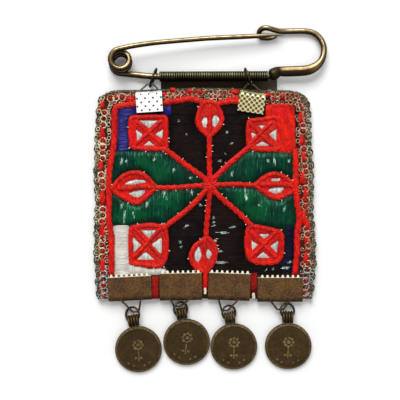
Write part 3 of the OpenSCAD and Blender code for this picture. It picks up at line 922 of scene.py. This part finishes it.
def satinOver(shape, holes, way, lift=0.0, ragged=0.4, pitch=satin["pitch"]):
    # threads side by side over a shape, up and down for way 0 and across for way 1
    runs = []
    step = pitch / view["scale"]
    value = min(p[way] for p in shape) + step * 0.4
    while value < max(p[way] for p in shape):
        for a, b in spans(shape, holes, value, way):
            if b - a > 1.2:
                a += jog(ragged)
                b += jog(ragged)
                runs.append(laidThread(*([(a, value), (b, value)] if way else [(value, a), (value, b)]), lift))
        value += step * draw(0.85, 1.12)
    return [run for run in runs if run]


def satinDye(name, way, rough=0.36):
    deep, body, lit, warm = (ink(*tone) for tone in satinInks[name][:4])
    shadeSpan, crest, streak, gloss = satinInks[name][4:]
    dye = Dye(name)
    point = dye.place()
    x, y, z = dye.axes(point)
    across = (x, y)[way] if way < 2 else x + y * 0.37
    count = (across / (satin["pitch"] * 1.02)).floor()
    single = dye.node("ShaderNodeTexWhiteNoise", {"noise_dimensions": "1D"}, {"W": count})
    drift = dye.noise(point, 0.35, 4, 0.6)
    tint = dye.noise(point, 0.16, 2, 0.5)
    ahead = dye.facing()[1]
    slim = dye.stretched(point, *((1.6, 0.22, 1.6), (0.22, 1.6, 1.6), (1.3, 1.3, 1.3))[way])
    sheenStreak = dye.noise(slim, 1.0, 3, 0.65)
    fibre = dye.noise(slim, 6.0, 2, 0.6)
    colour = dye.mix((single * 0.55 + drift.between(0.3, 0.7) * 0.5).capped(), deep, body)
    # painted sheen streaks along the threads; the silk shines where it slopes towards the light and is dark where it
    # slopes away, as painted highlight and painted shade
    colour = dye.layers(
        colour, (tint, 0.48, 0.64, 0.5, warm), (sheenStreak, 0.58, 0.72, streak, lit),
        (ahead, 0.08, 0.36, sheenStreak.between(0.4, 0.6) * crest, lit),
        (ahead, -0.04, -0.36, 0.55, deep))
    if way == 2:
        # short dark and light flecks of twisted floss
        fleck = dye.noise(point, 1.7, 3, 0.7)
        colour = dye.layers(colour, (fleck, 0.48, 0.34, 0.7, deep), (fleck, 0.6, 0.74, 0.5, lit))
    # painted shade: low threads, drawn down beside the cords, are darker
    colour = dye.mix(z.between(*shadeSpan) * 0.75 + 0.25, deep, colour)
    dye.set(Base_Color=colour, Roughness=rough + fibre * 0.2, Specular_IOR_Level=gloss,
            Normal=dye.bump(fibre, 0.35, 0.06))
    return dye.material


def laySatin():
    holes = list(redShapes.values())
    threads = {name: [] for name in fields}
    for name, field in fields.items():
        for shape in field["shapes"]:
            threads[name] += satinOver(shape, holes, field["way"])
    holes = [hole for group in bare.values() for hole in group]
    threads["whiteBare"] = [run for hole in holes for run in satinOver(hole, [], 0, -0.05, 0.1)]
    for name, runs in threads.items():
        base = {"blueEnd": "blueSatin", "whiteFoot": "whiteSatin", "whiteBare": "bareWhite"}.get(name, name)
        way = fields[name]["way"] if name in fields else 0
        keep(strands(name, runs, satin["radius"]), satinDye(base, way))
        print("satin laid:", name, len(runs), "threads")


cord = {"radius": 0.27, "step": 0.8, "crown": 0.55, "lift": 0.22, "lay": 2.6, "sway": 0.13}


def bundle(points, width, count, crown=cord["crown"], closed=False):
    # threads couched side by side to one rounded band
    line = along([flat(*p) for p in points], cord["step"], closed)
    width = width * view["scale"]
    paths = []
    for k in range(count):
        share = (k + 0.5) / count * 2 - 1
        side = beside(line, share * (width / 2 - 0.25))
        path = []
        for i, (x, y) in enumerate(side):
            turn = i * cord["step"] * tau / cord["lay"] + k * 2.1
            sway = cord["sway"] * sin(turn)
            z = topAt(*line[i]) + cord["lift"] + crown * (1 - share * share) + 0.07 * cos(turn)
            if not closed and i in (0, len(side) - 1):
                z -= 0.3
            path.append((x + sway + jog(0.04), y + sway + jog(0.04), z, draw(0.95, 1.2)))
        if closed:
            path[-1] = path[0]
        paths.append(path)
    return paths


def middleOf(shape):
    return sum(p[0] for p in shape) / len(shape), sum(p[1] for p in shape) / len(shape)


def shrunk(shape, by):
    # the outline moved inwards, square to each side
    moved = []
    for i, p in enumerate(shape):
        a, b = shape[i - 1], shape[(i + 1) % len(shape)]
        length = dist(a, b)
        nx, ny = -(b[1] - a[1]) / length * by, (b[0] - a[0]) / length * by
        moved.append(min(((p[0] + nx, p[1] + ny), (p[0] - nx, p[1] - ny)), key=lambda q: dist(q, middleOf(shape))))
    return moved


# The red: which shapes are filled up and down, how deep their outlines lie, and the knot in the middle
redWork = {
    "upright": ("patchUpperRight", "lensLeft", "lensRight", "squareUpperLeft", "squareLowerRight"),
    "pitch": 0.4, "fillRadius": 0.28, "inset": 2.3, "outline": 4.8, "crossReach": 0.34, "cross": 4.2, "knot": 18,
}


def layRed():
    fill = []
    for name, shape in redShapes.items():
        way = 0 if name in redWork["upright"] else 1
        lift = 0.2 if name == "patchUpperRight" else 0.1
        fill += satinOver(shape, bare.get(name, []), way, lift, 0.2, redWork["pitch"])
    red = satinDye("redSatin", 2, 0.42)
    keep(strands("redFill", fill, redWork["fillRadius"]), red)
    paths = []
    for points, width, count in redBands:
        paths += bundle(points, width, count)
    for name, shape in redShapes.items():
        if name.startswith("patch"):
            paths += bundle(shrunk(shape, 1.6)[1:6], 4.4, 4, 0.2)
            continue
        paths += bundle(shrunk(shape, redWork["inset"]), redWork["outline"], 4, 0.4, True)
        if name.startswith("square"):
            mx, my = middleOf(shape)
            xs, ys = zip(*shape)
            wide, tall = ((max(side) - min(side)) * redWork["crossReach"] for side in (xs, ys))
            for slope, crown in ((1, 0.4), (-1, 0.55)):
                line = [(mx - wide * slope, my - tall), (mx, my), (mx + wide * slope, my + tall)]
                paths += bundle(line, redWork["cross"], 4, crown)
    for k in range(redWork["knot"]):
        turn = tau * k / redWork["knot"] + jog(0.12)
        reach = draw(6, 9)
        near = -draw(0, 2)
        ends = [(centre[0] + cos(turn) * far, centre[1] + sin(turn) * far) for far in (near, reach)]
        paths.append(laidThread(*ends, draw(0.75, 1.0)))
    keep(strands("redCords", paths, cord["radius"]), red)
    print("red laid:", len(fill), "fill threads,", len(paths), "cord threads")
    return red


# Painted sheen highlights, laid as pale floss filaments: x, y, half length, and 1 where it runs up and down
glints = [
    (121.5, 159, 1.6, 0), (121.5, 162, 2.6, 1), (126, 161, 2, 1), (124.4, 216, 6, 1), (122, 206, 2.6, 1),
    (154, 160, 2, 1), (174, 170, 2.4, 1), (164, 194, 3.5, 1), (167, 198, 2, 1), (147, 205, 4, 1),
    (133.6, 215, 3.5, 1), (191, 178, 1.6, 0), (192, 193, 2.4, 1), (268, 161, 2, 1), (274.6, 161, 4.4, 1),
    (289, 161, 2.6, 1), (232, 174, 2.8, 1), (245.8, 195, 6.4, 1), (246.8, 199, 3, 1), (284.2, 209, 2.6, 1),
    (259, 205, 1.4, 0), (288, 268, 2.4, 0), (290, 262, 2, 0), (226.4, 132.2, 1.8, 0), (232, 143, 1.4, 0),
    (220.4, 161, 1.8, 0), (225, 153.4, 1, 0), (201, 205, 2, 0), (186, 226, 2.2, 0), (180, 242, 1.4, 1),
    (181, 247, 1.4, 0), (221, 232.6, 6, 0), (216, 239.6, 2.2, 0), (215, 240.6, 2, 0), (220.4, 251.4, 2, 0),
    (222, 262.6, 5.6, 0), (183.4, 229, 1, 0), (214, 222, 2, 0), (213.4, 226, 2, 0), (213.4, 218, 1.6, 0),
    (283, 268, 2, 0), (273, 269, 1.6, 0), (266, 270.4, 1.2, 1), (233, 227, 2.6, 0), (186, 134, 1.2, 0),
    (179, 121, 1.2, 0),
]


floss = {"count": 4, "apart": 0.6, "lift": 0.26, "radius": 0.075, "stitch": 0.15, "outlineShare": 0.12,
    "bandShare": 0.3}


def layPale():
    shine = []
    for x, y, half, way in glints:
        for k in range(floss["count"]):
            # pale filaments side by side for each painted highlight
            off = (k - (floss["count"] - 1) / 2) * floss["apart"] + jog(0.12)
            slip = jog(0.6) * half
            size = half * draw(0.5, 1.0)
            ends = [(x + off, y + slip + end) if way else (x + slip + end, y + off) for end in (-size, size)]
            shine.append(laidThread(*ends, floss["lift"], 0.16))
    keep(strands("paintedSheenFloss", [run for run in shine if run], floss["radius"]), inkedDye("paintedSheenFloss"))
    paths = []

    def stitch(x, y, wayX, wayY, near, far, dip):
        paths.append(laidThread((x + wayX * near, y + wayY * near), (x + wayX * far, y + wayY * far), 0.3, dip))

    for name, shape in redShapes.items():
        if name.startswith("patch"):
            continue
        mx, my = middleOf(shape)
        for x, y in along(shape, 3.4, True)[:-1]:
            if dice.random() < floss["outlineShare"]:
                length = dist((x, y), (mx, my))
                stitch(x, y, (x - mx) / length, (y - my) / length, -0.6, 1.2, 0.15)
    for points, width, count in redBands[4:12]:
        run = along(points, 5.5)
        for p, q in zip(run, run[1:]):
            if dice.random() < floss["bandShare"] and dist(p, centre) > 14:
                length = dist(p, q)
                side = dice.choice((-1, 1)) * width * 0.5
                stitch(*p, -(q[1] - p[1]) / length * side, (q[0] - p[0]) / length * side, 0.8, 1.3, 0.1)
    pale = inkedDye("paleFloss")
    keep(strands("paleStitches", [run for run in paths if run], floss["stitch"]), pale)
    print("pale stitches:", len(paths))
    return pale


braid = {
    "route": [  # middle of the band, from the lower left round to the lower right
        (104.5, 299), (103, 285), (102.3, 270), (101.6, 250), (101.6, 230), (102, 210), (103, 197), (101.6, 185),
        (101, 170), (102, 155), (102.6, 140), (103.2, 120), (104.4, 106), (108.4, 99.4), (115, 97), (128, 96.6),
        (145, 96.4), (165, 95.6), (190, 94.4), (210, 94.4), (235, 95), (262, 96.6), (280, 96.6), (292, 97.4),
        (300.2, 100.2), (303, 107), (303.2, 118), (303.8, 135), (304.8, 150), (306, 170), (306.2, 195), (306, 215),
        (307.4, 230), (308.6, 245), (308.4, 265), (307, 280), (305.6, 299)],
    "width": 4.4, "thick": 2.0, "rise": 1.35,
    "loopRadius": 1.2, "loopThick": 0.32, "loopParts": 14, "heart": 0.74, "bead": 0.5, "cord": 0.34, "edge": 0.4,
    "fine": 0.25, "step": (1.95, 2.3), "crowdedStep": (1.6, 1.9), "seedStep": (0.3, 0.6), "scallopStep": (2.4, 4.6),
    "silverFrom": 268, "crowdedFrom": (160, 110),  # grey loops below this line, small ones up and right of this point
    "edges": ((2.25, 1.5), (2.0, 2.15), (2.3, 0.8), (-2.1, 1.7)), "edgeStep": 0.55,  # how far out and how high
    "bitThreads": 4, "bitApart": 0.42, "bitHeight": 2.85, "beadStep": 2.0, "beadOff": 2.0, "beadHeight": 2.1,
    "seed": 0.62, "scallopOff": 1.8, "scallopHeight": 2.3,
}
# Bits of plain red cord in the braid: where along the grid, and half how long
redBits = [
    (102, 104, 4.5, 1), (102, 134, 6, 1), (101, 166, 4, 1), (102, 198, 8, 1), (102.4, 230, 8, 1), (102.6, 266, 6, 1),
    (130.5, 99, 4.5, 0), (163.8, 94, 3, 0), (173, 89.6, 2.6, 0), (190, 90.6, 3, 0), (199, 91, 2.6, 0),
    (234.6, 91.6, 4.2, 0), (233, 99.4, 7, 0), (268, 94.6, 3.4, 0), (283, 96, 3, 0), (300.6, 118, 5, 1),
    (301.8, 140, 4, 1), (304, 156, 4, 1), (303, 178, 6, 1), (306, 194, 5, 1), (304, 218, 7, 1), (307.6, 224.4, 4, 1),
    (306, 258, 5, 1), (306, 240, 3, 1),
]


def braidLine(step):
    return along([flat(*p) for p in braid["route"]], step)


braidRun = braidLine(braid["fine"])
braidLength = (len(braidRun) - 1) * braid["fine"]


def weaveBand():
    # one flattened band swept along the border
    profile = added(bpy.ops.curve.primitive_bezier_circle_add, radius=1)
    for spot in profile.data.splines[0].bezier_points:
        for end in (spot.co, spot.handle_left, spot.handle_right):
            end.x *= braid["width"] / 2 * mm
            end.y *= braid["thick"] / 2 * mm
    profile.data.resolution_u = 4
    reel = bpy.data.curves.new("braidBand", "CURVE")
    reel.dimensions = "3D"
    reel.twist_mode = "Z_UP"
    reel.bevel_mode = "OBJECT"
    reel.bevel_object = profile
    reel.use_fill_caps = True
    line = reel.splines.new("POLY")
    spots = braidLine(0.9)
    line.points.add(len(spots) - 1)
    for i, (target, (x, y)) in enumerate(zip(line.points, spots)):
        target.co = (x * mm, y * mm, braid["rise"] * mm, 1)
        target.radius = 1 + 0.05 * sin(i * 1.4)
    band = meshOf(linked("braidBand", reel))
    bpy.data.objects.remove(profile)
    faceOut(band)
    dye = Dye("braidWeave")
    point = dye.place()
    speck = dye.cells(point, 1.2)
    colour = dye.layers(ink(138, 14, 14), (dye.noise(point, 0.3, 2, 0.5), 0.46, 0.62, 1.0, ink(50, 40, 24)))
    colour = dye.mix((speck < 0.34) * 0.7, colour, ink(214, 186, 134))
    colour = dye.mix((speck > 0.72) * 0.8, colour, ink(22, 14, 10))
    dye.set(Base_Color=colour, Roughness=0.65, Normal=dye.bump(speck, 0.9, 0.4))
    keep(band, dye.material)
    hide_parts("border_braid")


def turned(x, y, z, yaw, lean, size):
    place = Matrix.Translation((x * mm, y * mm, z * mm)) @ Matrix.Rotation(yaw, 4, "Z") @ Matrix.Rotation(lean, 4, "X")
    return place @ Matrix.Diagonal((*size, 1))


def nearRedBit(px, py):
    for x, y, half, way in redBits:
        if abs((py if way else px) - (y if way else x)) < half and abs((px if way else py) - (x if way else y)) < 7:
            return True
    return False


def braidTop(x, y, off):
    # what a loop at this distance from the band's middle lies on
    band = braid["rise"] + braid["thick"] / 2 * sqrt(max(0.0, 1 - (off / braid["width"] * 2) ** 2))
    return max(topAt(x, y), band)


def spotAt(where, off):
    # a point beside the band's middle line, and which way the band runs there
    i = min(len(braidRun) - 2, int(where / braid["fine"]))
    a, b = braidRun[max(i - 2, 0)], braidRun[min(i + 2, len(braidRun) - 1)]
    length = dist(a, b)
    x = braidRun[i][0] - (b[1] - a[1]) / length * off
    y = braidRun[i][1] + (b[0] - a[0]) / length * off
    return x, y, atan2(b[1] - a[1], b[0] - a[0])


laid = {"braidLoops": [], "braidSilver": [], "braidHearts": [], "braidScallops": [], "seeds": []}


def addLoop(where, off, size, lean=0.25, lift=0.0):
    x, y, turn = spotAt(where, off + jog(0.15))
    z = braidTop(x, y, off) + 0.18 + lift + draw(-0.05, 0.12)
    low = gridOf(x, y)[1] > braid["silverFrom"]
    laid["braidSilver" if low else "braidLoops"].append(turned(
        x, y, z, turn + jog(0.4), jog(lean), (size * draw(0.88, 1.08), size, size)))
    if not low and size > 0.6 and dice.random() < 0.7:
        laid["braidHearts"].append(turned(x, y, z - 0.15, turn, 0, (size, size, size * 0.5)))


def placeLoops():
    where = 0.9
    while where < braidLength - 0.8:
        px, py = gridOf(*spotAt(where, 0)[:2])
        crowded = px > braid["crowdedFrom"][0] and py < braid["crowdedFrom"][1]
        if underClip(px, py, "braid"):
            pass
        elif crowded:
            for off in (0.95, -0.75):
                if not nearRedBit(*gridOf(*spotAt(where, off)[:2])):
                    addLoop(where, off, draw(0.6, 0.72))
            addLoop(where, -1.9, draw(0.42, 0.55), 0.5)
            if dice.random() < 0.5:
                addLoop(where + 0.8, 1.9, draw(0.4, 0.55), 0.6, 0.45)
        else:
            if py > braid["silverFrom"] or not nearRedBit(px, py):
                addLoop(where, -0.15, draw(0.92, 1.12))
            for slip in (0.3, 1.5):
                if dice.random() < 0.5:
                    addLoop(where + slip, draw(1.6, 2.1), draw(0.42, 0.66), 0.6, 0.45)
            for slip in (0.2, 1.3):
                if dice.random() < (0.75 if px < 200 else 0.4):
                    addLoop(where + slip, draw(-2.5, -1.7), draw(0.4, 0.6), 0.4)
        where += draw(*braid["crowdedStep" if crowded else "step"])


def placeSeeds():
    # beads and hearts between the loops, then the scallops outside
    where = 0.5
    while where < braidLength - 0.5:
        off = draw(-2.3, 1.9)
        x, y, turn = spotAt(where, off)
        px, py = gridOf(x, y)
        if not nearRedBit(px, py) and not underClip(px, py, "braid"):
            kind = dice.choice(("seeds", "braidHearts", "braidHearts"))
            size = 1 if kind == "seeds" else 0.75
            z = braidTop(x, y, off) + 0.1
            laid[kind].append(turned(x, y, z, draw(0, 3), 0, (size, size * draw(0.6, 1), size * 0.7)))
        where += draw(*braid["seedStep"])
    where = 2.0
    while where < braidLength - 2:
        x, y, turn = spotAt(where, braid["scallopOff"])
        if gridOf(x, y)[1] > 100:
            size = draw(0.85, 1.15)
            yaw = turn + jog(0.5)
            sizes = (size * 1.15, size * 0.9, size)
            laid["braidScallops"].append(turned(x, y, braid["scallopHeight"], yaw, draw(-0.3, 0.1), sizes))
        where += draw(*braid["scallopStep"])


def beadedRing():
    parts = braid["loopParts"]
    ring = added(bpy.ops.mesh.primitive_torus_add, major_segments=parts, minor_segments=4,
                 major_radius=braid["loopRadius"] * mm, minor_radius=braid["loopThick"] * mm)
    for spot in ring.data.vertices:
        # pinch every second section, so that the wire looks beaded
        if round(atan2(spot.co.y, spot.co.x) / tau * parts) % 2:
            heart = Vector((spot.co.x, spot.co.y, 0)).normalized() * braid["loopRadius"] * mm
            spot.co = heart + (spot.co - heart) * 0.62
    return ring


def gimpDye():
    dye = Dye("gimpThread")
    point = dye.place()
    grain = dye.noise(point, 5.0, 2, 0.6)
    x, y, z = dye.axes(point)
    # browner along the top and towards the right side
    brownerShare = (x.between(10, 30) + y.between(36, 39)).capped() * 0.34
    colour = dye.layers(
        ink(250, 234, 200), (dye.noise(point, 0.6, 3, 0.6), 0.4, 0.62, 1.0, ink(160, 130, 74)),
        (grain, 0.52, 0.66, 0.6, ink(84, 58, 34)))
    colour = dye.mix(brownerShare, colour, ink(92, 60, 36))
    dye.set(Base_Color=colour, Roughness=0.4, Metallic=0.3, Normal=dye.bump(grain, 0.5, 0.1))
    return dye.material


def redBitPaths():
    # red cord between the loops
    paths = []
    count = braid["bitThreads"]
    for x, y, half, way in redBits:
        a, b = ((x, y - half), (x, y + half)) if way else ((x - half, y), (x + half, y))
        middle = along([flat(*a), flat(*b)], 0.5)
        for k in range(count):
            out = k - (count - 1) / 2
            side = beside(middle, out * braid["bitApart"])
            path = []
            for i, (sx, sy) in enumerate(side):
                end = min(i, len(side) - 1 - i) * 0.5
                z = braid["bitHeight"] - 0.14 * out ** 2 - 0.5 * exp(-end / 0.5) + 0.06 * sin(i * 1.3 + k)
                sway = 0.2 * sin(i * 0.7 + k)
                path.append((sx + sway, sy + sway, z, draw(0.85, 1.15)))
            paths.append(path)
    return paths


def edgePaths():
    # cord wound along both sides of the band
    paths = []
    for k, (off, z) in enumerate(braid["edges"]):
        side = beside(braidLine(braid["edgeStep"]), off)
        paths.append([(*p, z + 0.12 * sin(i * 1.7 + k), 1.2 if i % 2 else 0.88) for i, p in enumerate(side)])
    return paths


def layBraid(red, crimson):
    weaveBand()
    placeLoops()
    placeSeeds()
    keep(copies("braidLoops", beadedRing(), laid["braidLoops"]), gimpDye())
    keep(copies("braidSilver", beadedRing(), laid["braidSilver"]), inkedDye("silverGimp"))
    heart = added(bpy.ops.mesh.primitive_uv_sphere_add, segments=8, ring_count=6, radius=braid["heart"] * mm)
    keep(copies("braidHearts", heart, laid["braidHearts"]), crimson)
    keep(strands("braidRed", redBitPaths(), braid["cord"]), red)
    olive = inkedDye("oliveCord")
    keep(strands("braidEdge", edgePaths(), braid["edge"]), olive)
    keep(copies("braidScallops", beadedRing(), laid["braidScallops"]), olive)
    beads = []
    for x, y in beside(braidLine(braid["beadStep"]), braid["beadOff"]):
        px, py = gridOf(x, y)
        if py > 96 or px > 290:
            x, y = x + jog(0.1), y + jog(0.15)
            beads.append(turned(x, y, braid["beadHeight"], draw(0, 3), 0, (1, 0.8, 0.8)))
    beads += [place @ Matrix.Scale(braid["seed"], 4) for place in laid["seeds"]]
    bead = added(bpy.ops.mesh.primitive_ico_sphere_add, subdivisions=1, radius=braid["bead"] * mm)
    keep(copies("braidBeads", bead, beads), inkedDye("paleBead"))
    print("braid laid:", len(laid["braidLoops"]) + len(laid["braidSilver"]), "loops,", len(beads), "beads")


# Red threads sewn down in the gaps between the crimps: x, top, foot, half width, threads
ties = [(155.2, 276.5, 298.8, 2.4, 4), (254, 273, 292, 2.0, 3)]
looseEnds = [(205.2, 288, 294), (253.6, 293, 298.6)]  # x, top, foot
tie = {"points": 12, "height": 2.85, "crown": 0.25, "radius": 0.36, "endHeight": 3.5, "endRadius": 0.26}


def layTies(crimson, pale):
    paths = []
    for px, low, high, half, count in ties:
        for k in range(count):
            share = k / (count - 1) * 2 - 1
            x, top = flat(px + half * share, low)
            foot = flat(px, high)[1]
            path = []
            for i in range(tie["points"]):
                t = i / (tie["points"] - 1)
                z = tie["height"] + tie["crown"] * (1 - share * share) - 4 * max(0, t - 0.85)
                path.append((x + jog(0.06), top + (foot - top) * t, z, draw(0.9, 1.1)))
            paths.append(path)
    keep(strands("redTies", paths, tie["radius"]), crimson)
    ends = []
    for px, low, high in looseEnds:
        for off in (-0.25, 0.25):
            x, top = flat(px, low)
            foot = flat(px, high)[1]
            ends.append([
                (x + off + jog(0.1), top + (foot - top) * i / 4, tie["endHeight"] - 0.12 * i, 1.0) for i in range(5)])
    keep(strands("paleEnds", ends, tie["endRadius"]), pale)
    print("ties sewn")


# The pale surround, and each lamp's place, size and watts
stage = {
    "world": 0.4, "floor": 4,
    "lamps": {"softboxUpper": ((-0.2, 1.0, 1.0), 0.9, 19.0), "softboxFill": ((0.4, -0.2, 0.9), 0.7, 1.3)},
}


def setStage():
    floor = added(bpy.ops.mesh.primitive_plane_add, size=stage["floor"])
    floor.name = "paleTable"
    floor.data.materials.append(inkedDye("paleTable"))
    world = bpy.data.worlds.new("studio")
    bpy.context.scene.world = world
    world.use_nodes = True
    sky = world.node_tree.nodes["Background"].inputs
    sky["Color"].default_value = (1, 1, 1, 1)
    sky["Strength"].default_value = stage["world"]
    bpy.context.scene.view_settings.view_transform = "Standard"
    for name, (spot, size, power) in stage["lamps"].items():
        lamp = bpy.data.lights.new(name, "AREA")
        lamp.shape = "SQUARE"
        lamp.size = size
        lamp.energy = power
        holder = linked(name, lamp)
        holder.location = spot
        holder.rotation_euler = (-Vector(spot)).to_track_quat("-Z", "Y").to_euler()
    lens = bpy.data.cameras.new("overhead")
    lens.lens = 36 * view["height"] / (400 * view["scale"])
    lens.clip_start = 0.01
    camera = linked("overhead", lens)
    middle = at(200, 200)
    camera.location = (middle.x * mm, middle.y * mm, (view["height"] + view["level"]) * mm)
    bpy.context.scene.camera = camera
    print("stage set")


setStage()
bridgeSpring(finishMetals())
sewPad()
laySatin()
redDye = layRed()
paleDye = layPale()
crimsonDye = satinDye("crimsonSatin", 2, 0.42)
layBraid(redDye, crimsonDye)
layTies(crimsonDye, paleDye)
